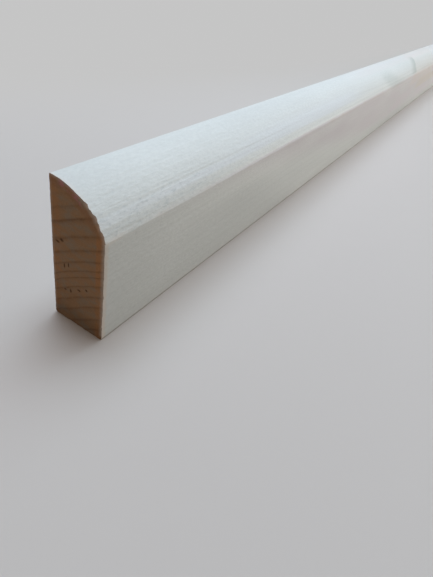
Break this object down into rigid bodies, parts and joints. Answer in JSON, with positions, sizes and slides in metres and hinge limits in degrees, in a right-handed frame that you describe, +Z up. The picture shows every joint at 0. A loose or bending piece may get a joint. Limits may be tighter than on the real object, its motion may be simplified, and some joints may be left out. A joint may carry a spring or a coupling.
{
  "type": "skirting board",
  "caption": "Narrow solid softwood skirting board with a rounded top edge and square-sawn ends, for the joint of a wall and a floor.",
  "frame": {"origin": "middle of the bottom edge, halfway along the board and halfway through its thickness", "axes": "+X along the length, +Y towards the wall out of the flat back, +Z up; the rounded top and the front face look to -Y"},
  "size_m": [2.4, 0.016, 0.04],
  "materials": {
    "raw_softwood": "planed and sanded, raw, matt; sawn end grain at both ends"
  },
  "bodies": {
    "root": {"skirting_board": "raw_softwood"}
  },
  "joints": []
}
